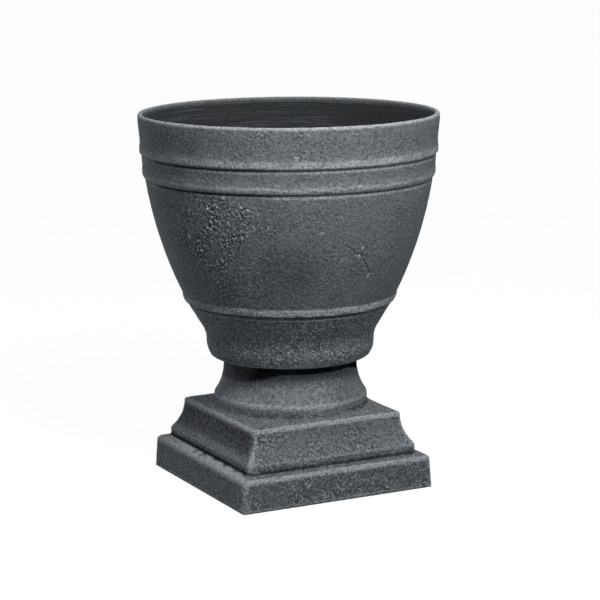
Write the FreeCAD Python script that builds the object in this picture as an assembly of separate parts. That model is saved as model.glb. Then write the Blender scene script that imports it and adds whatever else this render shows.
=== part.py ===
import FreeCAD, Part
import math
import os

# Footed garden urn planter, moulded as two hollow shells. Sizes are in millimetres.
# The origin is on the ground in the middle of the square plinth, with Z up and the
# sides of the plinth along X and Y. The bowl stands on the pedestal and one bolt,
# reached from under the pedestal, clamps the two together.

# Bowl. Heights are measured up from the joint with the pedestal or down from the rim.
rim_radius = 203.2
bowl_height = 332.1
bowl_wall = 6.0
lip_thickness = 7.2
lip_height = 11.5
lip_overhang = 0.9
lip_blend = 8.0
upper_wall_taper = 1.4
bead_1_drop = 56.0
band_height = 31.9
bead_3_height = 75.9
bead_height = 12.0
bead_bow = 1.1
bead_nose = 1.2
crease_depth = 1.3
crease_height = 2.4
tier_1_step = 2.2
band_taper = 1.0
tier_2_step = 3.8
belly_foot_radius = 146.3
belly_bow = 5.9
tier_3_step = 5.2
waist_cove_radius = 38.8
roll_height = 21.4
roll_bulge = 11.4
base_margin = 12.1
floor_corner_radius = 12.0
dish_depth = 5.5

# Pedestal, from the neck outwards and from the ground up.
neck_radius = 91.6
neck_straight = 11.5
neck_edge_round = 1.5
neck_cove_radius = 69.4
neck_flare = 13.6
foot_band_height = 13.6
foot_band_round = 1.5
shoulder_margin = 7.3
shoulder_rise = 6.0
block_height = 55.0
block_top_straight = 4.0
block_top_round = 3.0
block_cove_radius = 60.5
block_cove_depth = 14.7
block_nose_round = 3.0
plinth_height = 47.0
plinth_slope_drop = 4.0
plinth_slope_run = 14.6
plinth_edge_round = 4.5
plinth_draft = 2.3
corner_round = 7.0
inner_corner_round = 2.0
pedestal_wall = 6.0

# Nest between the two shells.
seat_land = 22.1
nest_side_clearance = 0.5
nest_floor_clearance = 0.5

# Stiffening ribs inside the pedestal.
rib_count = 4
rib_thickness = 4.0
plate_rib_height = 18.0
plate_rib_toe = 7.0
gusset_height = 42.0
gusset_toe = 10.0
gusset_reach = 12.0
rib_clearance = 6.0

# Drain holes in the bowl's floor, the windows under them and the plugs.
drain_count = 4
drain_hole_radius = 8.0
drain_inset = 18.0
window_margin = 5.0
plug_clearance = 0.1
plug_flange_radius = 12.0
plug_flange_thickness = 2.5
plug_stem_spare = 3.0
plug_tab_width = 13.0
plug_tab_height = 13.0
plug_tab_thickness = 3.0

# Clamp bolt, washers and wing nut.
bolt_radius = 4.0
bolt_head_flats = 13.0
bolt_head_height = 5.3
bolt_head_chamfer = 0.8
bolt_tip_chamfer = 1.0
thread_spare = 12.5
bolt_hole_clearance = 0.5
washer_clearance = 0.2
washer_radius = 12.0
washer_thickness = 2.0
seal_clearance = 0.1
seal_radius = 13.0
seal_thickness = 3.0
nut_clearance = 0.05
nut_height = 8.0
nut_radius = 8.0
nut_chamfer = 1.2
wing_reach = 19.5
wing_height = 20.0
wing_thickness = 3.0
wing_tip_radius = 5.0

# How many straight stretches each curve is drawn with, so that the facets stay few.
lip_count = 6
bead_count = 2
belly_count = 7
waist_count = 4
roll_count = 5
corner_count = 2
cove_count = 6
nose_count = 2

# Sizes that follow from the ones above.
foot_band_radius = neck_radius + neck_flare
block_top_half = foot_band_radius + shoulder_margin
block_foot_half = block_top_half + block_cove_depth
plinth_top_half = block_foot_half + plinth_slope_run
plinth_foot_half = plinth_top_half + plinth_draft
neck_centre_radius = neck_radius + neck_cove_radius
neck_cove_drop = math.sqrt(neck_cove_radius ** 2 - (neck_cove_radius - neck_flare) ** 2)

block_top = plinth_height + block_height
shoulder_top = block_top + shoulder_rise
foot_band_top = shoulder_top + foot_band_height
neck_cove_top = foot_band_top + neck_cove_drop
pedestal_height = neck_cove_top + neck_straight
rim_height = pedestal_height + bowl_height

base_radius = neck_radius + base_margin
roll_radius = base_radius + roll_bulge
recess_radius = neck_radius - seat_land
spigot_radius = recess_radius - nest_side_clearance
dish_radius = spigot_radius - bowl_wall
floor_height = pedestal_height + bowl_wall
dish_floor_height = floor_height - dish_depth
spigot_foot_height = pedestal_height - dish_depth
recess_floor_height = spigot_foot_height - nest_floor_clearance
plate_underside = recess_floor_height - pedestal_wall
drain_circle_radius = dish_radius - drain_inset
bolt_hole_radius = bolt_radius + bolt_hole_clearance
washer_hole_radius = bolt_radius + washer_clearance

cut_overrun = 5.0
vertical = FreeCAD.Vector(0, 0, 1)


def at(radius, height):
    """A point of a profile, in the XZ plane."""
    return FreeCAD.Vector(radius, 0, height)


def arc_points(centre, start, end, count):
    """Points from start to end along the short arc round a centre, both ends included."""
    first = math.atan2(start.z - centre.z, start.x - centre.x)
    last = math.atan2(end.z - centre.z, end.x - centre.x)
    turn = (last - first + math.pi) % (2 * math.pi) - math.pi
    radius = (start - centre).Length
    points = [start]
    for step in range(1, count):
        angle = first + turn * step / count
        points.append(centre + at(math.cos(angle), math.sin(angle)) * radius)
    return points + [end]


def bowed_centre(start, end, bow):
    """Centre of the arc that bows outwards from the chord start-end by bow."""
    chord = end - start
    outward = at(-chord.z, chord.x).normalize()
    radius = (chord.Length ** 2 / 4 + bow ** 2) / (2 * bow)
    return (start + end) / 2 - outward * (radius - bow)


def nose_centre(cove_centre, cove_radius, side, nose):
    """Centre of the small rounding between an upright side and the cove above it."""
    across = cove_centre.x - side + nose
    drop = math.sqrt((cove_radius + nose) ** 2 - across ** 2)
    return at(side - nose, cove_centre.z - drop)


def closed_wire(points):
    return Part.makePolygon(points + [points[0]])


def spun(points):
    """The solid made by turning a closed profile once round the Z axis."""
    return Part.Face(closed_wire(points)).revolve(FreeCAD.Vector(0, 0, 0), vertical, 360)


def turned_copies(shape, count, first_angle):
    """Copies of a shape at even steps round the Z axis."""
    copies = []
    for number in range(count):
        copy = shape.copy()
        copy.rotate(FreeCAD.Vector(0, 0, 0), vertical, first_angle + 360 * number / count)
        copies.append(copy)
    return copies


def cylinder(radius, bottom, top, x=0):
    return Part.makeCylinder(radius, top - bottom, FreeCAD.Vector(x, 0, bottom))


# ---------------------------------------------------------------- bowl

def bead_points(start, wall_below, crease):
    """A drip bead: from its top edge down into the crease under it and out to the wall below."""
    nose = at(wall_below + bead_nose, crease + crease_height / 2)
    root = at(wall_below - crease_depth, crease)
    end = at(wall_below, crease - crease_height / 2)
    centre = bowed_centre(start, nose, bead_bow)
    return arc_points(centre, start, nose, bead_count) + [root, end]


def waist_tangent(start, centre):
    """Where the straight cone, coming down from start, meets the waist cove."""
    away = start - centre
    turn = math.acos(waist_cove_radius / away.Length)
    angle = math.atan2(away.z, away.x) + turn
    return centre + at(math.cos(angle), math.sin(angle)) * waist_cove_radius


def roll_points(equator, foot):
    """The quarter ellipse from the roll's widest point in to the flat base."""
    points = []
    for step in range(roll_count + 1):
        angle = math.pi / 2 * step / roll_count
        across = math.cos(angle) * (equator.x - foot.x)
        down = math.sin(angle) * (equator.z - foot.z)
        points.append(at(foot.x + across, equator.z - down))
    return points


def make_bowl():
    """The thin bowl: rounded lip, three drip beads, rounded foot, dished floor with a spigot."""
    lip_round = lip_thickness / 2
    lip_centre = at(rim_radius - lip_round, rim_height - lip_round)
    lip_top = lip_centre + at(0, lip_round)
    lip_outer = lip_centre + at(lip_round, 0)
    lip_inner = lip_centre - at(lip_round, 0)
    lip_foot = at(rim_radius, rim_height - lip_height)

    wall_1 = rim_radius - lip_overhang
    wall_2 = wall_1 - upper_wall_taper
    band_top_radius = wall_2 - tier_1_step
    band_foot_radius = band_top_radius - band_taper
    belly_top_radius = band_foot_radius - tier_2_step
    cone_top_radius = belly_foot_radius - tier_3_step

    crease_1 = rim_height - bead_1_drop
    crease_2 = crease_1 - band_height
    crease_3 = pedestal_height + bead_3_height

    blend_foot = at(wall_1, rim_height - lip_height - lip_blend)
    bead_1 = bead_points(at(wall_2, crease_1 + bead_height), band_top_radius, crease_1)
    bead_2 = bead_points(at(band_foot_radius, crease_2 + bead_height), belly_top_radius, crease_2)
    bead_3 = bead_points(at(belly_foot_radius, crease_3 + bead_height), cone_top_radius, crease_3)
    belly_top = bead_2[-1]
    belly_foot = bead_3[0]
    cone_top = bead_3[-1]
    belly_centre = bowed_centre(belly_top, belly_foot, belly_bow)

    equator = at(roll_radius, pedestal_height + roll_height)
    waist_centre = equator + at(waist_cove_radius, 0)
    waist_top = waist_tangent(cone_top, waist_centre)
    base_edge = at(base_radius, pedestal_height)

    outside = arc_points(lip_centre, lip_top, lip_outer, lip_count // 2)
    outside += [lip_foot, blend_foot] + bead_1 + bead_2
    outside += arc_points(belly_centre, belly_top, belly_foot, belly_count)[1:-1]
    outside += bead_3
    outside += arc_points(waist_centre, waist_top, equator, waist_count)[:-1]
    outside += roll_points(equator, base_edge)

    underside = [
        at(spigot_radius, pedestal_height),
        at(spigot_radius, spigot_foot_height),
        at(bolt_hole_radius, spigot_foot_height),
        at(bolt_hole_radius, dish_floor_height),
        at(dish_radius, dish_floor_height),
        at(dish_radius, floor_height),
    ]

    # The inside is the outside moved in by the wall, without the beads.
    inner_waist = at(roll_radius - bowl_wall, equator.z)
    corner_centre = at(inner_waist.x - floor_corner_radius, floor_height + floor_corner_radius)
    corner_low = corner_centre - at(0, floor_corner_radius)
    corner_high = corner_centre + at(floor_corner_radius, 0)
    inward = (waist_top - waist_centre).normalize() * bowl_wall
    inner_belly_foot = belly_foot - (belly_foot - belly_centre).normalize() * bowl_wall
    inner_belly_top = belly_top - (belly_top - belly_centre).normalize() * bowl_wall
    inner_wall_foot = at(wall_2 - bowl_wall, crease_1 + bead_height)

    inside = arc_points(corner_centre, corner_low, corner_high, corner_count)
    inside += arc_points(waist_centre, inner_waist, waist_top + inward, waist_count)
    inside += [cone_top + inward]
    inside += arc_points(belly_centre, inner_belly_foot, inner_belly_top, belly_count)
    inside += [inner_wall_foot]
    inside += arc_points(lip_centre, lip_inner, lip_top, lip_count - lip_count // 2)[:-1]

    bowl = spun(outside + underside + inside)
    hole = cylinder(
        drain_hole_radius,
        spigot_foot_height - cut_overrun,
        dish_floor_height + cut_overrun,
        drain_circle_radius,
    )
    return bowl.cut(turned_copies(hole, drain_count, 180 / drain_count))


# ---------------------------------------------------------------- pedestal

def square_wire(half, height, corner):
    """A square with rounded corners, lying flat at a height."""
    straight = half - corner
    middle = straight + corner * math.sqrt(0.5)
    edges = []
    for quarter in range(4):
        turn = FreeCAD.Rotation(vertical, 90 * quarter)
        side_start = turn.multVec(FreeCAD.Vector(half, -straight, height))
        side_end = turn.multVec(FreeCAD.Vector(half, straight, height))
        arc_middle = turn.multVec(FreeCAD.Vector(middle, middle, height))
        arc_end = turn.multVec(FreeCAD.Vector(straight, half, height))
        edges.append(Part.makeLine(side_start, side_end))
        edges.append(Part.Arc(side_end, arc_middle, arc_end).toShape())
    return Part.Wire(edges)


def circle_wire(radius, height, half, corner):
    """A circle cut into arcs that face the sides and corners of a rounded square."""
    side_angle = math.degrees(math.atan2(half - corner, half))
    circle = Part.Circle(FreeCAD.Vector(0, 0, height), vertical, radius)
    edges = []
    for quarter in range(4):
        for low, high in ((-side_angle, side_angle), (side_angle, 90 - side_angle)):
            start = math.radians(90 * quarter + low)
            end = math.radians(90 * quarter + high)
            edges.append(Part.ArcOfCircle(circle, start, end).toShape())
    return Part.Wire(edges)


def square_stack(outline, corner):
    """A square body with rounded corners, whose four sides follow one outline upwards."""
    return Part.makeLoft([square_wire(p.x, p.z, corner) for p in outline], True, True)


def plinth_outline():
    """Drafted side, rounded top edge, and a top that slopes up to the block."""
    top_edge = plinth_height - plinth_slope_drop
    corner = at(plinth_top_half, top_edge)
    down = at(plinth_draft, -top_edge).normalize()
    inward = at(-plinth_slope_run, plinth_slope_drop).normalize()
    half_turn = (math.pi - down.getAngle(inward)) / 2
    low = corner + down * plinth_edge_round * math.tan(half_turn)
    high = corner + inward * plinth_edge_round * math.tan(half_turn)
    centre = low + at(down.z, -down.x) * plinth_edge_round
    return [at(plinth_foot_half, 0)] + arc_points(centre, low, high, nose_count)


def block_outline():
    """Upright band at the foot, cove above it and a rounded top edge."""
    cove_centre = at(block_top_half + block_cove_radius, block_top - block_top_straight)
    cove_top = at(block_top_half, cove_centre.z)
    nose = nose_centre(cove_centre, block_cove_radius, block_foot_half, block_nose_round)
    cove_foot = cove_centre + (nose - cove_centre).normalize() * block_cove_radius
    top_centre = at(block_top_half, block_top) - at(block_top_round, block_top_round)
    top_low = top_centre + at(block_top_round, 0)
    top_high = top_centre + at(0, block_top_round)
    outline = [at(block_foot_half, plinth_height)]
    outline += arc_points(nose, nose + at(block_nose_round, 0), cove_foot, nose_count)
    outline += arc_points(cove_centre, cove_foot, cove_top, cove_count)[1:]
    return outline + arc_points(top_centre, top_low, top_high, nose_count)


def make_shoulder():
    """The sloped top of the block, square at its foot and round where the neck stands."""
    half = block_top_half - block_top_round
    square = square_wire(half, block_top, corner_round)
    circle = circle_wire(foot_band_radius, shoulder_top, half, corner_round)
    return Part.makeLoft([square, circle], True, True)


def make_neck():
    """The round foot band, the flared neck above it and the seat that carries the bowl."""
    cove_centre = at(neck_centre_radius, neck_cove_top)
    nose = nose_centre(cove_centre, neck_cove_radius, foot_band_radius, foot_band_round)
    band_top = at(foot_band_radius, nose.z)
    flare_foot = cove_centre + (nose - cove_centre).normalize() * neck_cove_radius
    flare_top = at(neck_radius, neck_cove_top)
    edge_high = at(neck_radius - neck_edge_round, pedestal_height)
    points = [at(0, pedestal_height), at(0, shoulder_top), at(foot_band_radius, shoulder_top)]
    points += arc_points(nose, band_top, flare_foot, nose_count)
    points += arc_points(cove_centre, flare_foot, flare_top, cove_count)[1:]
    points += [at(neck_radius, pedestal_height - neck_edge_round), edge_high]
    return spun(points)


def make_hollow():
    """The space inside the pedestal: the outside faces moved in by the wall."""
    wall = pedestal_wall
    band_half = block_foot_half - wall
    cove_centre = at(block_top_half + block_cove_radius, block_top - block_top_straight)
    cove_radius = block_cove_radius + wall
    cove_foot = nose_centre(cove_centre, cove_radius, band_half, 0)
    ceiling = min(block_top - wall, cove_centre.z)
    reach = math.sqrt(cove_radius ** 2 - (cove_centre.z - ceiling) ** 2)
    cove_top = at(cove_centre.x - reach, ceiling)
    outline = [
        at(plinth_foot_half - wall, -cut_overrun),
        at(plinth_foot_half - wall, 0),
        at(plinth_top_half - wall, plinth_height - plinth_slope_drop - wall),
        at(band_half, plinth_height - wall),
    ]
    outline += arc_points(cove_centre, cove_foot, cove_top, cove_count)
    square_room = square_stack(outline, inner_corner_round)

    neck_centre = at(neck_centre_radius, neck_cove_top)
    inner_radius = neck_cove_radius + wall
    inner_band = foot_band_radius - wall
    flare_foot = nose_centre(neck_centre, inner_radius, inner_band, 0)
    flare_height = min(neck_cove_top, plate_underside)
    drop = neck_cove_top - flare_height
    flare_top = at(neck_centre_radius - math.sqrt(inner_radius ** 2 - drop ** 2), flare_height)
    points = [at(0, plate_underside), at(0, ceiling - wall), at(inner_band, ceiling - wall)]
    points += arc_points(neck_centre, flare_foot, flare_top, cove_count)
    if plate_underside > flare_height:
        points += [at(flare_top.x, plate_underside)]
    return square_room.fuse(spun(points))


def upright_rib(points):
    """A rib standing in a plane through the Z axis, from its outline in that plane."""
    rib = Part.Face(closed_wire(points)).extrude(FreeCAD.Vector(0, rib_thickness, 0))
    rib.translate(FreeCAD.Vector(0, -rib_thickness / 2, 0))
    return rib


def make_ribs():
    """Ribs under the seat plate, between the drains, and gussets into the block's corners."""
    rib_start = wing_reach + rib_clearance
    rib_top = plate_underside + pedestal_wall / 2
    plate_rib = upright_rib([
        at(rib_start, rib_top),
        at(foot_band_radius, rib_top),
        at(foot_band_radius, plate_underside - plate_rib_height),
        at(neck_radius - pedestal_wall, plate_underside - plate_rib_height),
        at(rib_start, plate_underside - plate_rib_toe),
    ])
    gusset_inner = foot_band_radius - pedestal_wall - gusset_reach
    gusset_outer = block_foot_half * math.sqrt(2)
    gusset = upright_rib([
        at(gusset_inner, shoulder_top),
        at(gusset_outer, shoulder_top),
        at(gusset_outer, block_top - gusset_height),
        at(gusset_inner, block_top - pedestal_wall - gusset_toe),
    ])
    return turned_copies(plate_rib, rib_count, 0) + turned_copies(gusset, 4, 45)


def make_pedestal():
    """The hollow pedestal, open underneath, with the recessed plate that takes the bowl."""
    plinth = plinth_outline() + [at(block_foot_half, plinth_height)]
    outside = square_stack(plinth, corner_round).multiFuse([
        square_stack(block_outline(), corner_round),
        make_shoulder(),
        make_neck(),
    ])
    shell = outside.cut(make_hollow().cut(make_ribs()))
    recess = cylinder(recess_radius, recess_floor_height, pedestal_height + cut_overrun)
    through_plate = (plate_underside - cut_overrun, recess_floor_height + cut_overrun)
    bolt_hole = cylinder(bolt_hole_radius, *through_plate)
    window = cylinder(drain_hole_radius + window_margin, *through_plate, drain_circle_radius)
    windows = turned_copies(window, drain_count, 180 / drain_count)
    return shell.cut([recess, bolt_hole] + windows)


# ---------------------------------------------------------------- bolt, washers and nut

seal_bottom = dish_floor_height
upper_washer_bottom = seal_bottom + seal_thickness
head_bottom = upper_washer_bottom + washer_thickness
lower_washer_bottom = plate_underside - washer_thickness
nut_bottom = lower_washer_bottom - nut_height
bolt_tip = nut_bottom - thread_spare


def ring(outer, inner, bottom, thickness):
    return spun([
        at(inner, bottom),
        at(outer, bottom),
        at(outer, bottom + thickness),
        at(inner, bottom + thickness),
    ])


def make_bolt():
    """Hexagon-headed bolt, head up inside the bowl, with a chamfered tip."""
    corner_radius = bolt_head_flats / math.sqrt(3)
    head_top = head_bottom + bolt_head_height
    corners = []
    for number in range(6):
        angle = math.radians(60 * number)
        across = FreeCAD.Vector(math.cos(angle), math.sin(angle), 0)
        corners.append(at(0, head_bottom) + across * corner_radius)
    prism = Part.Face(closed_wire(corners)).extrude(vertical * bolt_head_height)
    crown = spun([
        at(0, head_bottom),
        at(corner_radius, head_bottom),
        at(corner_radius, head_top - bolt_head_chamfer),
        at(bolt_head_flats / 2, head_top),
        at(0, head_top),
    ])
    shank = spun([
        at(0, head_bottom),
        at(bolt_radius, head_bottom),
        at(bolt_radius, bolt_tip + bolt_tip_chamfer),
        at(bolt_radius - bolt_tip_chamfer, bolt_tip),
        at(0, bolt_tip),
    ])
    return prism.common(crown).fuse(shank)


def make_wing_nut():
    """Cast wing nut with its flat face up against the lower washer and its wings down."""
    nut_top = lower_washer_bottom
    hub = spun([
        at(0, nut_top),
        at(nut_radius, nut_top),
        at(nut_radius, nut_bottom + nut_chamfer),
        at(nut_radius - nut_chamfer, nut_bottom),
        at(0, nut_bottom),
    ])
    tip_centre = at(wing_reach - wing_tip_radius, nut_top - wing_height + wing_tip_radius)
    root = bolt_radius + nut_clearance + wing_thickness / 2
    tip_outer = tip_centre + at(wing_tip_radius, 0)
    tip_low = tip_centre - at(0, wing_tip_radius)
    tip_inner = tip_centre - at(wing_tip_radius, 0)
    shoulder = nut_top - wing_thickness
    outline = [at(root, nut_bottom), at(root, shoulder), at(nut_radius, shoulder)]
    outline += arc_points(tip_centre, tip_outer, tip_low, corner_count)
    outline += arc_points(tip_centre, tip_low, tip_inner, corner_count)[1:]
    wing = Part.Face(closed_wire(outline)).extrude(FreeCAD.Vector(0, wing_thickness, 0))
    wing.translate(FreeCAD.Vector(0, -wing_thickness / 2, 0))
    bore = cylinder(bolt_radius + nut_clearance, bolt_tip - cut_overrun, nut_top + cut_overrun)
    return hub.multiFuse(turned_copies(wing, 2, 0)).cut(bore)


# ---------------------------------------------------------------- drain plugs

def make_plug():
    """Rubber plug: stem through the drain hole, flange on the floor and a pull tab."""
    stem_radius = drain_hole_radius - plug_clearance
    stem_foot = spigot_foot_height - plug_stem_spare
    flange_top = dish_floor_height + plug_flange_thickness
    body = spun([
        at(0, flange_top),
        at(plug_flange_radius, flange_top),
        at(plug_flange_radius, dish_floor_height),
        at(stem_radius, dish_floor_height),
        at(stem_radius, stem_foot),
        at(0, stem_foot),
    ])
    half = plug_tab_width / 2
    arch_centre = at(0, flange_top + plug_tab_height - half)
    arch_top = arch_centre + at(0, half)
    outline = [at(-half, flange_top), at(half, flange_top)]
    outline += arc_points(arch_centre, arch_centre + at(half, 0), arch_top, corner_count)
    outline += arc_points(arch_centre, arch_top, arch_centre - at(half, 0), corner_count)[1:]
    tab = Part.Face(closed_wire(outline)).extrude(FreeCAD.Vector(0, plug_tab_thickness, 0))
    tab.translate(FreeCAD.Vector(0, -plug_tab_thickness / 2, 0))
    plug = body.fuse(tab)
    plug.translate(at(drain_circle_radius, 0))
    return plug


pieces = {
    "bowl": make_bowl(),
    "pedestal": make_pedestal(),
    "clamp_bolt": make_bolt(),
    "seal_washer": ring(seal_radius, bolt_radius + seal_clearance, seal_bottom, seal_thickness),
    "upper_washer": ring(washer_radius, washer_hole_radius, upper_washer_bottom, washer_thickness),
    "lower_washer": ring(washer_radius, washer_hole_radius, lower_washer_bottom, washer_thickness),
    "wing_nut": make_wing_nut(),
}
for number, plug in enumerate(turned_copies(make_plug(), drain_count, 180 / drain_count), start=1):
    pieces[f"drain_plug_{number}"] = plug

os.makedirs("parts", exist_ok=True)
for name, shape in pieces.items():
    shape.exportStep(f"parts/{name}.step")
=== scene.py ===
import math

import bmesh
import bpy
from mathutils import Matrix, Vector, noise
from mathutils.bvhtree import BVHTree


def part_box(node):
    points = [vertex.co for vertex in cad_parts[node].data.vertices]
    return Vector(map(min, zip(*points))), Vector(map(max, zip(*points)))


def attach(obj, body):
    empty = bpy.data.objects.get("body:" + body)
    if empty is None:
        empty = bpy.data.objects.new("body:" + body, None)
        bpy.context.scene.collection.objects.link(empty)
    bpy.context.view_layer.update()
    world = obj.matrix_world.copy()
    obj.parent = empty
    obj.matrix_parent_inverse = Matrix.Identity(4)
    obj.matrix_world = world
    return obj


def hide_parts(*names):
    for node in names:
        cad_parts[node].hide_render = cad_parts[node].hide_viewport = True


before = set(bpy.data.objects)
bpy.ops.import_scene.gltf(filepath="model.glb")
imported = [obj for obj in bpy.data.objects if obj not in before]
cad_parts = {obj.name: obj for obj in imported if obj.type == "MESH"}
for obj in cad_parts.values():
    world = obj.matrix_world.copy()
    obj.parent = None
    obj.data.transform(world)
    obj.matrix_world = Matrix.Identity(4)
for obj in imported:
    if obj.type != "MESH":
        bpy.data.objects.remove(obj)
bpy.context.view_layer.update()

# Pedestal. One hollow moulding: round neck, foot band, coved square block and square plinth.
# It is a resin and stone-dust shell, cast rough, painted slate grey, washed dark and
# brushed over dry with a paler grey, so that edges and grains come up light.

cast_grain = 0.0023
lump_depth = 0.0006
foot_skin = 0.0004
seat_skin = 0.0008
grain_height = 0.002
stroke_scale = (9.0, 9.0, 330.0)
weld = 1e-6
off_skin = 0.0006
base_grey = (0.165, 0.18, 0.194, 1.0)
cloud_grey = (0.2, 0.217, 0.232, 1.0)
# Dark grey of the wash in the low grains, and of the painted shade towards the floor.
wash_and_shade_grey = (0.06, 0.067, 0.075, 1.0)
# Black painted in as shade, in creases and where the bowl shades the neck.
painted_shade_black = (0.009, 0.010, 0.012, 1.0)
# Pale grey of the dry brush, and of the painted highlight on the plinth's left ledge.
brushed_and_highlight_grey = (0.44, 0.475, 0.51, 1.0)
inside_black = (0.032, 0.036, 0.039, 1.0)
inside_streak = (0.15, 0.165, 0.178, 1.0)
paint_rough = 0.78
paint_ior = 1.45

# Where the paint changes: half widths and heights of edges, and pairs that say where a change
# begins and where it is complete, by height, by distance or by azimuth in degrees.
block_half, block_top = 0.1115, 0.1010
block_wear = (0.0048, 0.0018)
corner_half, corner_foot, corner_top = 0.105, 0.050, 0.102
corner_wear = (0.0045, 0.0015)
corner_fade = (0.108, 0.080)
face_foot, face_top = (0.056, 0.072), (0.099, 0.092)
plinth_half, plinth_top = 0.1405, 0.0420
plinth_wear = (0.0060, 0.0025)
ledge_foot, ledge_top = (0.035, 0.040), (0.0475, 0.0460)
groove_height, groove_reach = 0.0500, (0.004, 0.001)
# Where the bowl's shadow is painted black on the neck.
joint_height = 0.164
joint_left, joint_drop = (-118.0, -165.0), (-65.0, -27.0)
joint_begin, joint_end = (-225.0, -190.0), (25.0, -10.0)
neck_foot = (0.106, 0.114)
neck_spread, neck_waist = (0.109, 0.120), (0.160, 0.140)
neck_left = (-60.0, -95.0)


def add_node(tree, kind, settings=None, inputs=None):
    """Adds a shader node, sets its own settings and fills or links its inputs."""
    made = tree.nodes.new("ShaderNode" + kind)
    for name, value in (settings or {}).items():
        setattr(made, name, value)
    for name, value in (inputs or {}).items():
        if isinstance(value, bpy.types.NodeSocket):
            tree.links.new(value, made.inputs[name])
        else:
            made.inputs[name].default_value = value
    return made


def new_material(name):
    material = bpy.data.materials.new(name)
    material.use_nodes = True
    material.node_tree.nodes.clear()
    return material, material.node_tree


def finish_material(tree, shader):
    add_node(tree, "OutputMaterial", inputs={"Surface": shader.outputs[0]})


def ramp(tree, value, low, high, to_low=0.0, to_high=1.0):
    """A soft step from to_low to to_high while value goes from low to high."""
    made = add_node(
        tree, "MapRange", {"interpolation_type": "SMOOTHSTEP"},
        {"Value": value, "From Min": low, "From Max": high, "To Min": to_low, "To Max": to_high},
    )
    return made.outputs[0]


def math_node(tree, operation, first, second):
    made = add_node(tree, "Math", {"operation": operation}, {0: first, 1: second})
    return made.outputs[0]


def times(tree, first, second):
    return math_node(tree, "MULTIPLY", first, second)


def plus(tree, first, second):
    return math_node(tree, "ADD", first, second)


def colour_mix(tree, share, first, second):
    """The first colour where share is 0, the second where it is 1, in the sockets 6 and 7."""
    made = add_node(
        tree, "Mix", {"data_type": "RGBA"}, {"Factor": share, 6: first, 7: second}
    )
    return made.outputs[2]


def patches(tree, place, scale, detail, roughness=0.5):
    made = add_node(
        tree, "TexNoise", None,
        {"Vector": place, "Scale": scale, "Detail": detail, "Roughness": roughness},
    )
    return made.outputs["Fac"]


def stored_value(tree, name):
    """A number that add_value() has stored for each vertex."""
    return add_node(tree, "Attribute", {"attribute_name": name}).outputs["Fac"]


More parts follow.
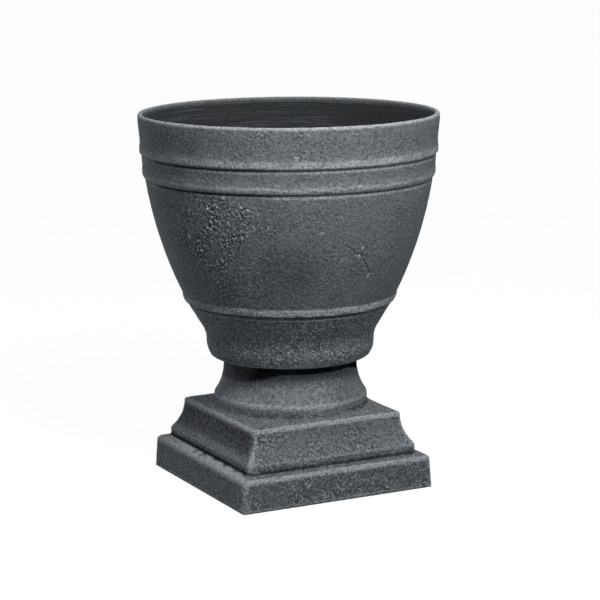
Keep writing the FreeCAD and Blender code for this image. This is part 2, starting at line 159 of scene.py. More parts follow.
def stone_paint():
    """Slate grey paint over a sandy cast, dark in the hollows and brushed pale on top, with painted
    shade in creases and low down and a painted highlight on the left ledge.
    """
    material, tree = new_material("slate grey dry-brushed paint and painted shade")
    place = add_node(tree, "TexCoord").outputs["Object"]
    edge = stored_value(tree, "edge")
    coat = stored_value(tree, "coat")
    coarse = stored_value(tree, "coarse")
    height = add_node(tree, "SeparateXYZ", None, {0: place}).outputs["Z"]
    level = add_node(tree, "Mapping", None, {"Vector": place, "Scale": stroke_scale}).outputs[0]

    sand = patches(tree, place, 270.0, 2.0, 0.6)
    grit = patches(tree, place, 560.0, 1.0, 0.5)
    cloud = patches(tree, place, 34.0, 3.0, 0.55)
    brush = patches(tree, level, 1.0, 3.0, 0.6)
    speck = patches(tree, place, 340.0, 1.0)
    chip = patches(tree, place, 255.0, 0.0)
    grain = plus(tree, times(tree, sand, 0.7), times(tree, grit, 0.3))

    # Dark wash left in the low grains, under a cloudy paint, and painted shade that grows towards the
    # floor from 6 cm down.
    hollow = times(tree, ramp(tree, grain, 0.54, 0.38), ramp(tree, coarse, 0.0, 0.9, 0.4, 1.5))
    paint = colour_mix(tree, hollow, base_grey, wash_and_shade_grey)
    paint = colour_mix(tree, ramp(tree, cloud, 0.4, 0.64, 0.0, 0.35), paint, cloud_grey)
    paint = colour_mix(tree, ramp(tree, height, 0.060, 0.030, 0.0, 0.42), paint, wash_and_shade_grey)

    # The dry brush on the high grains, in level strokes, and on loose specks and chips.
    high_grain = ramp(tree, grain, 0.55, 0.67)
    stroke = times(tree, ramp(tree, coarse, 0.0, 1.0, 0.26, 0.62), ramp(tree, brush, 0.3, 0.7, 0.6, 1.3))
    paint = colour_mix(tree, times(tree, high_grain, stroke), paint, brushed_and_highlight_grey)
    salt = times(tree, ramp(tree, speck, 0.57, 0.66), ramp(tree, coarse, 0.2, 0.9, 0.15, 1.0))
    paint = colour_mix(tree, salt, paint, brushed_and_highlight_grey)
    chipped = times(tree, ramp(tree, chip, 0.71, 0.77), ramp(tree, coarse, 0.2, 0.8, 0.1, 0.9))
    paint = colour_mix(tree, chipped, paint, brushed_and_highlight_grey)

    # Raised edges are brushed pale, with a painted highlight on the plinth's left ledge. Where edge is
    # low, black is painted in as shade: in creases, on the neck under the bowl, under the beads on the
    # left, on a spot low on the belly and on the block's left face.
    worn = times(tree, ramp(tree, edge, 0.53, 0.82), ramp(tree, grain, 0.36, 0.58, 0.3, 1.0))
    paint = colour_mix(tree, worn, paint, brushed_and_highlight_grey)
    crease_shade = times(tree, ramp(tree, edge, 0.45, 0.12), ramp(tree, cloud, 0.36, 0.6, 1.0, 0.88))
    paint = colour_mix(tree, crease_shade, paint, painted_shade_black)

    # The inside is near black, with a few level strokes of grey near the rim.
    streak = times(tree, ramp(tree, brush, 0.5, 0.72), ramp(tree, height, 0.40, 0.50, 0.12, 0.7))
    streak = times(tree, streak, ramp(tree, grain, 0.4, 0.6, 0.25, 1.0))
    inner = colour_mix(tree, streak, inside_black, inside_streak)
    paint = colour_mix(tree, coat, paint, inner)

    # Grains and chips stand higher where the cast is coarse. Where edge is low, in creases and in the
    # painted shadow at the joint, the gloss goes off too.
    grains = plus(tree, grain, times(tree, chipped, 0.5))
    grains = times(tree, grains, ramp(tree, coarse, 0.0, 1.0, 0.9, 2.4))
    relief = plus(tree, grains, times(tree, cloud, 0.4))
    bump = add_node(
        tree, "Bump", None, {"Height": relief, "Strength": 1.0, "Distance": grain_height}
    )
    gloss = ramp(tree, edge, 0.08, 0.42, 0.0, 0.3)
    shader = add_node(
        tree, "BsdfPrincipled", None,
        {
            "Base Color": paint, "Roughness": paint_rough, "IOR": paint_ior,
            "Specular IOR Level": gloss, "Normal": bump.outputs[0],
        },
    )
    finish_material(tree, shader)
    return material


stone = stone_paint()


def cast_relief(point):
    """How far in the cast skin lies at a point: broad lumps with smaller ones on them."""
    broad = noise.fractal(point * 22.0, 1.0, 2.0, 2)
    small = noise.fractal(point * 144.0, 0.9, 2.0, 3)
    return max(0.0, min(1.0, 0.5 + 0.32 * broad + 0.3 * small))


def soft_step(value, low, high):
    """0 up to low and 1 from high on, or the other way round where high is the lower one."""
    share = max(0.0, min(1.0, (value - low) / (high - low)))
    return share * share * (3 - 2 * share)


def azimuth_of(point):
    return math.degrees(math.atan2(point.y, point.x))


def add_value(bm, name, values):
    """Stores one number for each vertex, for the paint to read."""
    layer = bm.verts.layers.float.new(name)
    for vert, value in zip(bm.verts, values):
        vert[layer] = value


def soften(bm, rounds):
    """Draws every vertex half way to the middle of its neighbours, a few times over."""
    for _ in range(rounds):
        bmesh.ops.smooth_vert(
            bm, verts=bm.verts, factor=0.5, use_axis_x=True, use_axis_y=True, use_axis_z=True
        )


def edge_values(bm, reach, full):
    """0.5 on flat skin, up to 1 on a raised edge and down to 0.14 in a crease."""
    bm.normal_update()
    before = [vert.co.copy() for vert in bm.verts]
    normals = [vert.normal.copy() for vert in bm.verts]
    soften(bm, reach)
    values = []
    for vert, old, normal in zip(bm.verts, before, normals):
        proud = (old - vert.co).dot(normal) / full
        values.append(max(0.14, min(1.0, 0.5 + proud * (1.0 if proud > 0 else 0.72))))
        vert.co = old
    return values


def inside_values(bm):
    """1 where the skin has a wall further out from the upright axis, 0 on the outside."""
    bm.normal_update()
    walls = BVHTree.FromBMesh(bm)
    values = []
    for vert in bm.verts:
        outward = Vector((vert.co.x, vert.co.y, 0.0)).normalized()
        hit = walls.ray_cast(vert.co + vert.normal * off_skin, outward)
        values.append(0.0 if hit[0] is None else 1.0)
    return values


def show(name, bm, body, node, material):
    """Makes the finished mesh into a piece that stands for its CAD node."""
    mesh = bpy.data.meshes.new(name)
    bm.to_mesh(mesh)
    bm.free()
    mesh.shade_smooth()
    mesh.materials.append(material)
    piece = bpy.data.objects.new(name, mesh)
    bpy.context.scene.collection.objects.link(piece)
    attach(piece, body)
    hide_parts(node)


def worked(bm, kind, settings):
    """Runs one modifier over a mesh and gives back the mesh it makes."""
    mesh = bpy.data.meshes.new("worked")
    bm.to_mesh(mesh)
    bm.free()
    holder = bpy.data.objects.new("worked", mesh)
    bpy.context.scene.collection.objects.link(holder)
    modifier = holder.modifiers.new("worked", kind)
    for name, value in settings.items():
        setattr(modifier, name, value)
    bpy.context.view_layer.update()
    shaped = holder.evaluated_get(bpy.context.evaluated_depsgraph_get())
    made = bmesh.new()
    made.from_mesh(shaped.to_mesh())
    shaped.to_mesh_clear()
    bpy.data.objects.remove(holder)
    return made


def remeshed(node, cell):
    """A copy of a CAD node's mesh, merged and rebuilt in even cells."""
    bm = bmesh.new()
    bm.from_mesh(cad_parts[node].data)
    bmesh.ops.remove_doubles(bm, verts=bm.verts, dist=weld)
    return worked(bm, "REMESH", {"mode": "VOXEL", "voxel_size": cell})


def painted_joint_shadow(azimuth, height):
    """Painted shadow of the bowl, black on the neck just under the joint, wider and softer towards the
    left.
    """
    around = azimuth - 360.0 if azimuth > 90.0 else azimuth
    leftwards = soft_step(around, *joint_left)
    foot = joint_height - 0.010 * soft_step(around, *joint_drop) - 0.020 * leftwards
    shadow_foot, shadow_full = foot - 0.001 - 0.005 * leftwards, foot + 0.001 + 0.008 * leftwards
    black = soft_step(around, *joint_begin) * soft_step(around, *joint_end)
    return black * (1 - 0.45 * leftwards) * soft_step(height, shadow_foot, shadow_full)


def neck_left_pale(azimuth, height):
    """Where the neck spreads it is paler on the left, and a little darker elsewhere."""
    spread = soft_step(height, *neck_spread) * soft_step(height, *neck_waist)
    return 0.17 * spread * soft_step(azimuth, *neck_left) - 0.04 * spread


def worn_edges(point):
    """The brush has left the block's top edge and corners palest, then the plinth's edge."""
    across, along = abs(point.x), abs(point.y)
    square = max(across, along)
    from_block = math.hypot(square - block_half, point.z - block_top)
    worn = 0.3 * soft_step(from_block, *block_wear)
    if corner_foot < point.z < corner_top and square > corner_half:
        corner = soft_step(abs(across - along), *corner_wear)
        worn = max(worn, 0.34 * corner * soft_step(point.z, *corner_fade))
    from_plinth = math.hypot(square - plinth_half, point.z - plinth_top)
    worn = max(worn, 0.16 * soft_step(from_plinth, *plinth_wear))
    return worn * (0.55 + 0.6 * soft_step(noise.noise(point * 75.0), -0.3, 0.3))


def left_light_and_shade(point, normal):
    """On the left the block's face and its groove get painted shade, and the plinth's ledge gets a
    painted highlight.
    """
    left_side = soft_step(-normal.x, 0.08, 0.3)
    face = soft_step(-normal.x, 0.6, 0.9)
    face *= soft_step(point.z, *face_foot) * soft_step(point.z, *face_top)
    ledge = left_side * soft_step(point.z, *ledge_foot) * soft_step(point.z, *ledge_top)
    ledge *= soft_step(noise.noise(point * 80.0), -0.4, 0.3)
    groove = left_side * soft_step(abs(point.z - groove_height), *groove_reach)
    return 0.5 * ledge - 0.22 * face - 0.1 * groove


pedestal_low, pedestal_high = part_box("pedestal")
bm = remeshed("pedestal", cast_grain)
coats = inside_values(bm)
coarse = []
for vert in bm.verts:
    rough_spot = 0.52 - 0.2 * soft_step(vert.co.z, *neck_foot) + 0.35 * noise.noise(vert.co * 31.0)
    coarse.append(rough_spot)
    if foot_skin <= vert.co.z <= pedestal_high.z - seat_skin:
        vert.co -= vert.normal * lump_depth * (1 + 0.8 * rough_spot) * cast_relief(vert.co)
    vert.co.x = max(pedestal_low.x, min(pedestal_high.x, vert.co.x))
    vert.co.y = max(pedestal_low.y, min(pedestal_high.y, vert.co.y))
    vert.co.z = max(0.0, min(pedestal_high.z, vert.co.z))
edges = edge_values(bm, 5, 0.0012)
for number, vert in enumerate(bm.verts):
    azimuth = azimuth_of(vert.co)
    edges[number] += neck_left_pale(azimuth, vert.co.z)
    # Painted shadow of the bowl, black on the top of the neck.
    edges[number] *= 1 - painted_joint_shadow(azimuth, vert.co.z)
    # Real wear on the edges, and painted highlight and shade on the block's left.
    edges[number] += worn_edges(vert.co) + left_light_and_shade(vert.co, vert.normal)
add_value(bm, "edge", edges)
add_value(bm, "coat", coats)
add_value(bm, "coarse", coarse)
show("pedestal_skin", bm, "urn", "pedestal", stone)

# Bowl. A thin moulded shell of the same resin and stone dust, turned smooth inside and
# trowelled rough outside. Its rounded foot rests on the neck and a spigot drops into the
# pedestal's recess. A pitted patch and a hairline crack lie where the real one has them.

turns = 348
end_weld = 1e-5
rim_radius = 0.2032
lip_radius = 0.1996
inner_radius = 0.1960
lip_foot, lip_top = 0.50286, 0.50646
lip_bow = 0.00105
belly_top, belly_foot = (0.1938, 0.4155), (0.1463, 0.2626)
belly_bow = 0.0058
foot_plane = 0.17436
spigot_radius, spigot_end = 0.0690, 0.16886
bolt_hole = 0.0045
dish_radius, dish_floor = 0.0630, 0.17486
floor_top = 0.18036
drains = [45.0, 135.0, 225.0, 315.0]
drain_ring, drain_radius = 0.045, 0.008
drain_middle, drain_depth = 0.172, 0.02
relief_foot, relief_radius = 0.1747, 0.11
pit_depth = 0.0013
worm_scale, wild_scale = (150.0, 235.0), 46.0
speck_height, speck_edge = 0.0013, (0.0036, 0.0016)
crack_depth, crack_width, crack_spread = 0.0016, 0.0011, 0.0007
bead_wear = 0.0005

# Pairs that say where a change begins and where it is complete, by height or by azimuth in
# degrees, the top and foot of each bead, and the middle and half the size of a spot of painted shade.
roll_top = (0.203, 0.194)
roll_foot = (0.1745, 0.177)
cone_top = (0.262, 0.240)
lip_edge = (0.5022, 0.5052)
coat_edge = (0.5058, 0.5000)
beads = [(0.4640, 0.4515), (0.4322, 0.4196), (0.2632, 0.2518)]
# Lines of painted shade under the upper beads: their heights, their edge, and the azimuths where they
# darken and where they clear.
under_beads, line_edge = [0.4508, 0.4190], (0.003, 0.001)
line_dark, line_clear = (-118.0, -134.0), (-125.0, -104.0)
rough_left, rough_top = (-118.0, -150.0), (0.41, 0.38)
shade_spot, shade_spot_size = (-116.0, 0.318), (26.0, 0.062)

# Each pitted patch has the azimuth and height of its middle, half its width in degrees, half
# its own height and how pitted it is. Specks and the crack's points have azimuth and height.
pitted = [
    (-145.0, 0.383, 14.0, 0.030, 1.0),
    (-155.0, 0.362, 14.0, 0.046, 0.85),
    (-150.0, 0.318, 11.0, 0.046, 0.6),
]
specks = [
    (-150.2, 0.397), (-141.9, 0.380), (-150.9, 0.367), (-163.1, 0.3565), (-157.6, 0.341),
    (-125.1, 0.377), (-120.7, 0.338), (-142.9, 0.4145), (-114.3, 0.468), (-104.1, 0.368),
    (-86.2, 0.3328), (-78.7, 0.3039), (-85.0, 0.3447),
]
crack = [
    (-93.3, 0.3498), (-89.6, 0.3420), (-87.9, 0.3360), (-85.5, 0.3367),
    (-84.8, 0.3337), (-81.6, 0.3200), (-77.9, 0.3078),
]
# Azimuths and heights between which the skin is cut finer, for the pits and for the crack.
finer = [(-172.0, -127.0, 0.270, 0.4155), (-98.0, -73.0, 0.300, 0.356)]


def stretch(bm, tip, end, steps, bow):
    """Draws the outline on from its tip, straight, or bowed to the left of its way."""
    begin = tip.co.copy()
    chord = Vector((end[0], 0.0, end[1])) - begin
    left = Vector((-chord.z, 0.0, chord.x)).normalized()
    for step in range(1, steps + 1):
        share = step / steps
        tip = bmesh.ops.extrude_vert_indiv(bm, verts=[tip])["verts"][0]
        tip.co = begin + chord * share + left * bow * 4 * share * (1 - share)
    return tip


def turned(outline, steps):
    """A closed ring or solid, turned about the Z axis.

    Each stretch of its outline has the radius and height where it ends, its number of
    steps and its bow.
    """
    bm = bmesh.new()
    first = outline[-1][0]
    start = bm.verts.new((first[0], 0.0, first[1]))
    tip = start
    for end, count, bow in outline:
        tip = stretch(bm, tip, end, count, bow)
    bmesh.ops.remove_doubles(bm, verts=[tip, start], dist=end_weld)
    bmesh.ops.spin(
        bm, geom=bm.verts[:] + bm.edges[:], cent=(0, 0, 0), axis=(0, 0, 1),
        angle=2 * math.pi, steps=steps, use_merge=True, use_duplicate=False,
    )
    bmesh.ops.remove_doubles(bm, verts=bm.verts, dist=weld)
    on_axis = [edge for edge in bm.edges if not edge.link_faces]
    bmesh.ops.delete(bm, geom=on_axis, context="EDGES")
    bmesh.ops.recalc_face_normals(bm, faces=bm.faces)
    return bm


bm = turned([
    # lip and upper wall
    ((rim_radius, lip_foot), 4, lip_bow),
    ((0.2031, 0.4950), 3, 0),
    ((0.2022, 0.4860), 3, 0),
    ((0.2010, 0.4740), 5, 0),
    ((0.2008, 0.4660), 3, 0),
    # first drip bead and the band under it
    ((0.2015, 0.4576), 4, 0.0004),
    ((0.1994, 0.4520), 4, 0.0010),
    ((0.1975, 0.4509), 2, 0),
    ((0.1986, 0.4478), 2, 0),
    ((0.1976, 0.4360), 5, 0),
    # second drip bead
    ((0.1980, 0.4296), 3, 0.0003),
    ((0.1952, 0.4201), 5, 0.0011),
    ((0.1927, 0.4190), 2, 0),
    (belly_top, 2, 0),
    # belly
    (belly_foot, 58, belly_bow),
    # third drip bead
    ((0.1458, 0.2565), 4, 0.0004),
    ((0.1427, 0.2512), 4, 0.0005),
    ((0.1378, 0.2500), 2, 0),
    ((0.1385, 0.2460), 2, 0),
    # cone, waist and the rolled foot
    ((0.1200, 0.2155), 12, 0),
    ((0.1151, 0.19585), 9, -0.0014),
    ((0.11176, 0.18065), 8, 0.00092),
    ((0.1037, foot_plane), 5, 0.00139),
    # underside and spigot
    ((spigot_radius, foot_plane), 3, 0),
    ((spigot_radius, spigot_end), 1, 0),
    ((bolt_hole, spigot_end), 3, 0),
    ((bolt_hole, dish_floor), 1, 0),
    # floor, from the dish out to the wall
    ((dish_radius, dish_floor), 3, 0),
    ((dish_radius, floor_top), 1, 0),
    ((0.0971, floor_top), 3, 0),
    ((0.1091, 0.19236), 4, -0.0035),
    # inside wall up to the lip
    ((0.1142, 0.2155), 3, 0),
    ((0.1400, belly_foot[1]), 4, 0),
    ((0.1878, belly_top[1]), 12, -belly_bow),
    ((0.1950, 0.4660), 8, 0),
    ((inner_radius, lip_foot), 7, 0),
    ((lip_radius, lip_top), 4, lip_bow),
], turns)

# Four drain holes through the floor.
cutter = bmesh.new()
for drain in drains:
    way = Matrix.Rotation(math.radians(drain), 4, "Z")
    way = way @ Matrix.Translation((drain_ring, 0.0, drain_middle))
    bmesh.ops.create_cone(
        cutter, cap_ends=True, segments=48, radius1=drain_radius, radius2=drain_radius,
        depth=drain_depth, matrix=way,
    )
mesh = bpy.data.meshes.new("drain cutter")
cutter.to_mesh(mesh)
cutter.free()
drill = bpy.data.objects.new("drain cutter", mesh)
bpy.context.scene.collection.objects.link(drill)
bm = worked(bm, "BOOLEAN", {"operation": "DIFFERENCE", "solver": "EXACT", "object": drill})
bpy.data.objects.remove(drill)

# Finer cells where the pits and the crack are cut.
for low_az, high_az, low_z, high_z in finer:
    cells = []
    for face in bm.faces:
        middle = face.calc_center_median()
        outer = face.normal.x * middle.x + face.normal.y * middle.y > 0
        if outer and low_z < middle.z < high_z and low_az < azimuth_of(middle) < high_az:
            cells.append(face)
    sides = {edge for face in cells for edge in face.edges}
    bmesh.ops.subdivide_edges(bm, edges=list(sides), cuts=2, use_grid_fill=True)
bmesh.ops.triangulate(bm, faces=[face for face in bm.faces if len(face.verts) > 4])


def pitting(azimuth, height):
    """How pitted the skin is there, from 0 to 1."""
    most = 0.0
    for centre, middle, width, tall, strength in pitted:
        away = math.hypot((azimuth - centre) / width, (height - middle) / tall)
        most = max(most, strength * soft_step(away, 1.3, 0.55))
    return most


def pale_speck(azimuth, height, radius, pits):
    """How much of a pale speck is there, from 0 to 1. Those among the pits are the palest."""
    palest = 0.0
    for speck in specks:
        away = math.hypot(math.radians(azimuth - speck[0]) * radius, height - speck[1])
        palest = max(palest, (0.45 + 0.4 * min(1.0, 2 * pits)) * soft_step(away, *speck_edge))
    return palest


def pit_rise(azimuth, height, radius, pits):
    """How far the worm-like grains stand up in a pitted patch, less the pits between them."""
    across, down = math.radians(azimuth) * radius, height
    worm = noise.noise(Vector(((across - down) * worm_scale[0], (across + down) * worm_scale[1], 0.0)))
    wild = soft_step(noise.noise(Vector((across * wild_scale, down * wild_scale, 7.0))), -0.3, 0.25)
    return pits * pit_depth * wild * (2.6 * max(worm, -0.1) - 1.1 * soft_step(worm, -0.05, -0.35))


def crack_share(azimuth, height, radius):
    """How deep the crack is there, from 0 to 1. It widens towards its lower end."""
    deepest = 0.0
    for number, (begin, end) in enumerate(zip(crack, crack[1:])):
        a = Vector((math.radians(begin[0]) * radius, begin[1]))
        b = Vector((math.radians(end[0]) * radius, end[1]))
        p = Vector((math.radians(azimuth) * radius, height))
        share = max(0.0, min(1.0, (p - a).dot(b - a) / (b - a).length_squared))
        away = (p - a.lerp(b, share)).length
        wide = crack_width + crack_spread * number / len(crack)
        depth = 0.55 + 0.45 * number / len(crack)
        deepest = max(deepest, depth * soft_step(away, wide * 1.7, wide * 0.4))
    return deepest


def bead_share(height):
    """How far up a drip bead's round that is, with the low bead brushed the most."""
    for top, foot in beads:
        share = (height - foot) / (top - foot)
        if 0 < share < 1:
            most = 2.6 if top < 0.3 else 0.9
            return soft_step(share, 0.0, 0.25) * soft_step(share, 1.0, 0.7) * most
    return 0.0


def painted_wall_shade(azimuth, height):
    """Painted shade: a darker spot low on the belly, and lines under the upper beads, darkened on the
    left and lightened on the right.
    """
    away = math.hypot((azimuth - shade_spot[0]) / shade_spot_size[0], (height - shade_spot[1]) / shade_spot_size[1])
    under_bead = sum(soft_step(abs(height - line), *line_edge) for line in under_beads)
    leftwards = 0.8 * soft_step(azimuth, *line_dark) - 0.8 * soft_step(azimuth, *line_clear)
    return soft_step(away, 1.1, 0.2) + under_bead * leftwards


bm.normal_update()
coats = inside_values(bm)
coarse = []
brushed_and_shaded = []
for vert, coat in zip(bm.verts, coats):
    azimuth, height = azimuth_of(vert.co), vert.co.z
    radius = math.hypot(vert.co.x, vert.co.y)
    on_roll = soft_step(height, *roll_top) * soft_step(height, *roll_foot)
    on_foot = max(on_roll, soft_step(height, *cone_top))
    on_bead = bead_share(height)
    rough_spot = 0.3 + 0.2 * noise.noise(vert.co * 19.0) + 0.5 * on_foot
    rough_spot += 0.25 * soft_step(azimuth, *rough_left) * soft_step(height, *rough_top)
    pits = 0.0
    pale = 0.0
    if height > relief_foot and radius > relief_radius:
        inwards = lump_depth * cast_relief(vert.co) * (1 + 1.3 * on_foot)
        if coat == 0.0:
            pits = pitting(azimuth, height)
            pale = pale_speck(azimuth, height, radius, pits)
            if pits > 0.0:
                inwards -= pit_rise(azimuth, height, radius, pits)
                inwards -= speck_height * pale
            chip = soft_step(noise.noise(Vector((azimuth * 0.11, height * 40, 0.0))), -0.4, 0.5)
            inwards += crack_depth * crack_share(azimuth, height, radius)
            inwards += bead_wear * on_bead * chip
        else:
            inwards *= 0.5
        vert.co -= vert.normal * inwards
    coarse.append(min(1.0, rough_spot + pits))
    # Dry brush on beads, lip and pale specks, less the painted shade of the wall.
    lifted = max(0.3 * on_bead, 0.34 * soft_step(height, *lip_edge), pale)
    lifted *= 0.8 + 0.5 * noise.noise(vert.co * 60.0)
    brushed_and_shaded.append((lifted - 0.2 * painted_wall_shade(azimuth, height)) * (1 - coat))
for number, vert in enumerate(bm.verts):
    if coats[number]:
        coats[number] = soft_step(vert.co.z, *coat_edge)
edges = [edge + extra for edge, extra in zip(edge_values(bm, 4, 0.0018), brushed_and_shaded)]
add_value(bm, "edge", edges)
add_value(bm, "coat", coats)
add_value(bm, "coarse", coarse)
show("bowl_skin", bm, "urn", "bowl", stone)

# Clamp bolt. One M8 hexagon bolt of zinc plated steel, cold headed and rolled. It goes down
# through the bowl's floor and the pedestal's plate and draws the two together.

zinc_grey = (0.62, 0.63, 0.64, 1.0)
zinc_dull = (0.47, 0.48, 0.49, 1.0)
fine_relief = 0.0001
pitch = 0.00125
thread_depth = 0.00072
shank_radius = 0.0040
core_radius = 0.003
across_flats = 0.013
bolt_tip, bolt_chamfer = 0.13986, 0.14076
thread_end = (0.1712, 0.1698)
head_foot, head_top = 0.17986, 0.18516
head_clear, head_inner = 0.1798, 0.0041


def zinc_plate(name, low_rough, high_rough):
    """Bright zinc plating, clouded where it has dulled."""
    material, tree = new_material(name)
    place = add_node(tree, "TexCoord").outputs["Object"]
    cloud = patches(tree, place, 260.0, 3.0, 0.6)
    fine = patches(tree, place, 2600.0, 2.0, 0.6)
    colour = colour_mix(tree, ramp(tree, cloud, 0.42, 0.64), zinc_grey, zinc_dull)
    rough = ramp(tree, cloud, 0.3, 0.7, low_rough, high_rough)
    bump = add_node(tree, "Bump", None, {"Height": fine, "Strength": 0.35, "Distance": fine_relief})
    shader = add_node(
        tree, "BsdfPrincipled", None,
        {"Base Color": colour, "Metallic": 1.0, "Roughness": rough, "Normal": bump.outputs[0]},
    )
    finish_material(tree, shader)
    return material


steel = zinc_plate("zinc plated steel", 0.3, 0.48)

bm = turned([
    # tip and shank, with even steps for the thread
    ((0.0, bolt_tip), 1, 0),
    ((0.0031, bolt_tip), 2, 0),
    ((shank_radius, bolt_chamfer), 3, 0),
    ((shank_radius, 0.17086), 241, 0),
    ((shank_radius, head_foot), 3, 0),
    # head, turned past its corners and then cut to its six flats
    ((0.0074, head_foot), 3, 0),
    ((0.0076, 0.18436), 4, 0),
    ((0.0064, head_top), 3, 0),
    ((0.0, head_top), 3, 0),
], 72)
for vert in bm.verts:
    radius = math.hypot(vert.co.x, vert.co.y)
    height = vert.co.z
    if radius < weld:
        continue
    turn = math.radians(azimuth_of(vert.co))
    new = radius
    if height > head_clear and radius > head_inner:
        off_flat = turn % (math.pi / 3) - math.pi / 6
        new = min(radius, across_flats / 2 / math.cos(off_flat))
    elif radius > core_radius and height < thread_end[0]:
        wave = abs(((height / pitch - turn / (2 * math.pi)) % 1.0) - 0.5) * 2
        cut = thread_depth * soft_step(height, *thread_end) * soft_step(wave, 0.1, 0.95)
        new = min(radius, shank_radius - cut)
    vert.co.x *= new / radius
    vert.co.y *= new / radius
show("clamp_bolt_skin", bm, "urn", "clamp_bolt", steel)

# Washers. Two wide stamped steel washers, zinc plated, with rolled corners: one under the
# bolt's head, one under the pedestal's plate. A rubber washer keeps the floor watertight.

rubber_black = (0.02, 0.02, 0.022, 1.0)
rubber_bloom = (0.042, 0.042, 0.044, 1.0)
seal_top = 0.17786
plate_foot, lower_foot = 0.16236, 0.16036
steel_bore, steel_rim, steel_corner = 0.0042, 0.0120, 0.0003
seal_bore, seal_rim, seal_corner = 0.0041, 0.0130, 0.0006


def washer(bore, rim, foot, top, corner):
    """A flat ring with rolled corners."""
    bow = -0.293 * corner
    return turned([
        ((rim - corner, foot), 4, 0), ((rim, foot + corner), 3, bow),
        ((rim, top - corner), 2, 0), ((rim - corner, top), 3, bow),
        ((bore + corner, top), 4, 0), ((bore, top - corner), 3, bow),
        ((bore, foot + corner), 2, 0), ((bore + corner, foot), 3, bow),
    ], 96)


def moulded_rubber():
    """Matt black rubber with a little grey bloom."""
    material, tree = new_material("matt black rubber")
    place = add_node(tree, "TexCoord").outputs["Object"]
    bloom = patches(tree, place, 120.0, 4.0, 0.6)
    fine = patches(tree, place, 1800.0, 2.0, 0.5)
    colour = colour_mix(tree, ramp(tree, bloom, 0.5, 0.72), rubber_black, rubber_bloom)
    rough = ramp(tree, bloom, 0.3, 0.7, 0.55, 0.72)
    bump = add_node(tree, "Bump", None, {"Height": fine, "Strength": 0.3, "Distance": fine_relief})
    shader = add_node(
        tree, "BsdfPrincipled", None,
        {"Base Color": colour, "Roughness": rough, "Normal": bump.outputs[0]},
    )
    finish_material(tree, shader)
    return material


rubber = moulded_rubber()
seal = washer(seal_bore, seal_rim, dish_floor, seal_top, seal_corner)
show("seal_washer_skin", seal, "urn", "seal_washer", rubber)
upper = washer(steel_bore, steel_rim, seal_top, head_foot, steel_corner)
show("upper_washer_skin", upper, "urn", "upper_washer", steel)
lower = washer(steel_bore, steel_rim, lower_foot, plate_foot, steel_corner)
show("lower_washer_skin", lower, "lower_washer", "lower_washer", steel)

# Wing nut. One zinc alloy casting with two wings for the fingers, turned by hand from
# under the pedestal. Its edges come soft out of the die and its skin is duller than the bolt's.

nut_cell, nut_rounds = 0.0004, 3

bm = remeshed("wing_nut", nut_cell)
soften(bm, nut_rounds)
show("wing_nut_skin", bm, "wing_nut", "wing_nut", zinc_plate("cast zinc alloy", 0.4, 0.58))

# Drain plugs. Four moulded rubber stoppers, each a flange, a stem and a pull tab in one,
# pushed by hand into the holes in the bowl's floor. Their corners are softly rounded.

plug_cell, plug_rounds = 0.0005, 4

for number in range(1, len(drains) + 1):
    node = "drain_plug_%d" % number
    bm = remeshed(node, plug_cell)
    soften(bm, plug_rounds)
    show(node + "_skin", bm, node, node, rubber)

# Studio. A pale floor, clear from below, meets a white background. One large soft light is
# near the front right, a faint cool one behind on the left, and the rest is a weak fill.

floor_size = 30.0
floor_pale = (0.16, 0.16, 0.16, 1.0)
floor_grey = (0.22, 0.23, 0.24, 1.0)
floor_glow = 0.95
white = (1.0, 1.0, 1.0, 1.0)
fill_colour, fill_strength = (0.92, 0.96, 1.0, 1.0), 0.18


def seen_rays(tree):
    """1 for rays that show the backdrop: camera, gloss and glass. 0 for the light's own."""
    path = add_node(tree, "LightPath").outputs
    seen = math_node(tree, "MAXIMUM", path["Is Camera Ray"], path["Is Glossy Ray"])
    return math_node(tree, "MAXIMUM", seen, path["Is Transmission Ray"])


def studio_floor():
    """Close to white for the rays that are seen, plain grey for the light it throws back."""
    material, tree = new_material("pale floor")
    seen = seen_rays(tree)
    tint = colour_mix(tree, seen, floor_grey, floor_pale)
    shade = add_node(tree, "BsdfDiffuse", None, {"Color": tint})
    glow = add_node(tree, "Emission", None, {"Strength": times(tree, seen, floor_glow)})
    lit = add_node(tree, "AddShader", None, {0: shade.outputs[0], 1: glow.outputs[0]})
    below = add_node(tree, "NewGeometry").outputs["Backfacing"]
    clear = add_node(tree, "BsdfTransparent")
    shader = add_node(tree, "MixShader", None, {0: below, 1: lit.outputs[0], 2: clear.outputs[0]})
    finish_material(tree, shader)
    return material


bm = bmesh.new()
bmesh.ops.create_grid(bm, x_segments=1, y_segments=1, size=floor_size)
mesh = bpy.data.meshes.new("studio floor")
bm.to_mesh(mesh)
bm.free()
mesh.materials.append(studio_floor())
floor = bpy.data.objects.new("studio floor", mesh)
bpy.context.scene.collection.objects.link(floor)

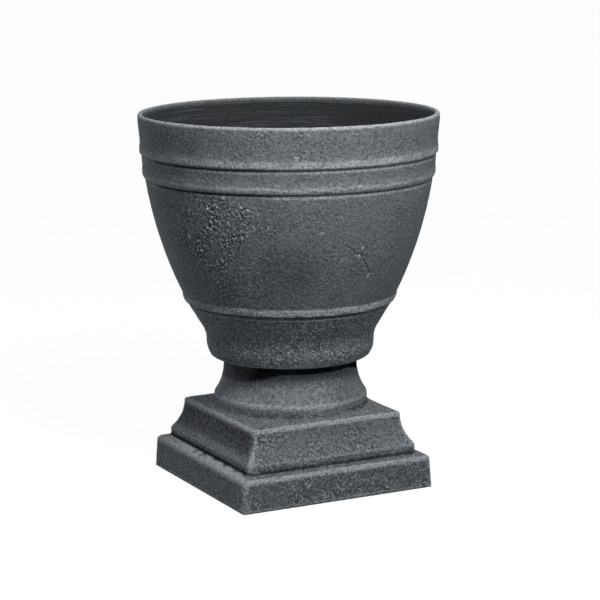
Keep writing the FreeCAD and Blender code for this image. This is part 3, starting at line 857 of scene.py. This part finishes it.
world = bpy.data.worlds.new("studio")
bpy.context.scene.world = world
world.use_nodes = True
tree = world.node_tree
tree.nodes.clear()
shown = add_node(tree, "Background", None, {"Color": white, "Strength": 1.0})
fill = add_node(tree, "Background", None, {"Color": fill_colour, "Strength": fill_strength})
mixed = add_node(
    tree, "MixShader", None, {0: seen_rays(tree), 1: fill.outputs[0], 2: shown.outputs[0]}
)
add_node(tree, "OutputWorld", inputs={"Surface": mixed.outputs[0]})

# Lights and camera. Angles are in degrees, and the camera is the one of the photograph:
# far off with a long lens, to the left of the front, looking down a little and hardly tilted.

view_azimuth, view_drop, view_roll = -27.43, 11.01, -0.33
view_place = (-1.325, -2.583, 0.8125)
lens, sensor = 129.9, 36.0
aim_height = 0.42
lamp_distance = 1.2


def aim(lamp, azimuth, height):
    """Points a lamp at the urn: azimuth is measured from the camera's own, to the right."""
    holder = bpy.data.objects.new(lamp.name, lamp)
    bpy.context.scene.collection.objects.link(holder)
    turn = Matrix.Rotation(math.radians(view_azimuth + azimuth), 4, "Z")
    lift = Matrix.Rotation(math.radians(90.0 - height), 4, "X")
    away = Matrix.Translation((0.0, 0.0, lamp_distance))
    holder.matrix_world = Matrix.Translation((0.0, 0.0, aim_height)) @ turn @ lift @ away


key = bpy.data.lights.new("key", "AREA")
key.shape = "DISK"
key.size = 0.45
key.energy = 12.4
key.color = (1.0, 0.995, 0.985)
aim(key, azimuth=20.0, height=42.0)

cool_edge = bpy.data.lights.new("cool edge", "SUN")
cool_edge.angle = math.radians(20.0)
cool_edge.energy = 0.22
cool_edge.color = (0.8, 0.9, 1.0)
aim(cool_edge, azimuth=-132.0, height=24.0)

camera = bpy.data.objects.new("camera", bpy.data.cameras.new("camera"))
camera.data.lens = lens
camera.data.sensor_width = sensor
camera.matrix_world = (
    Matrix.Translation(view_place)
    @ Matrix.Rotation(math.radians(view_azimuth), 4, "Z")
    @ Matrix.Rotation(math.radians(90.0 - view_drop), 4, "X")
    @ Matrix.Rotation(math.radians(view_roll), 4, "Z")
)
bpy.context.scene.collection.objects.link(camera)
bpy.context.scene.camera = camera
bpy.context.scene.view_settings.view_transform = "Standard"
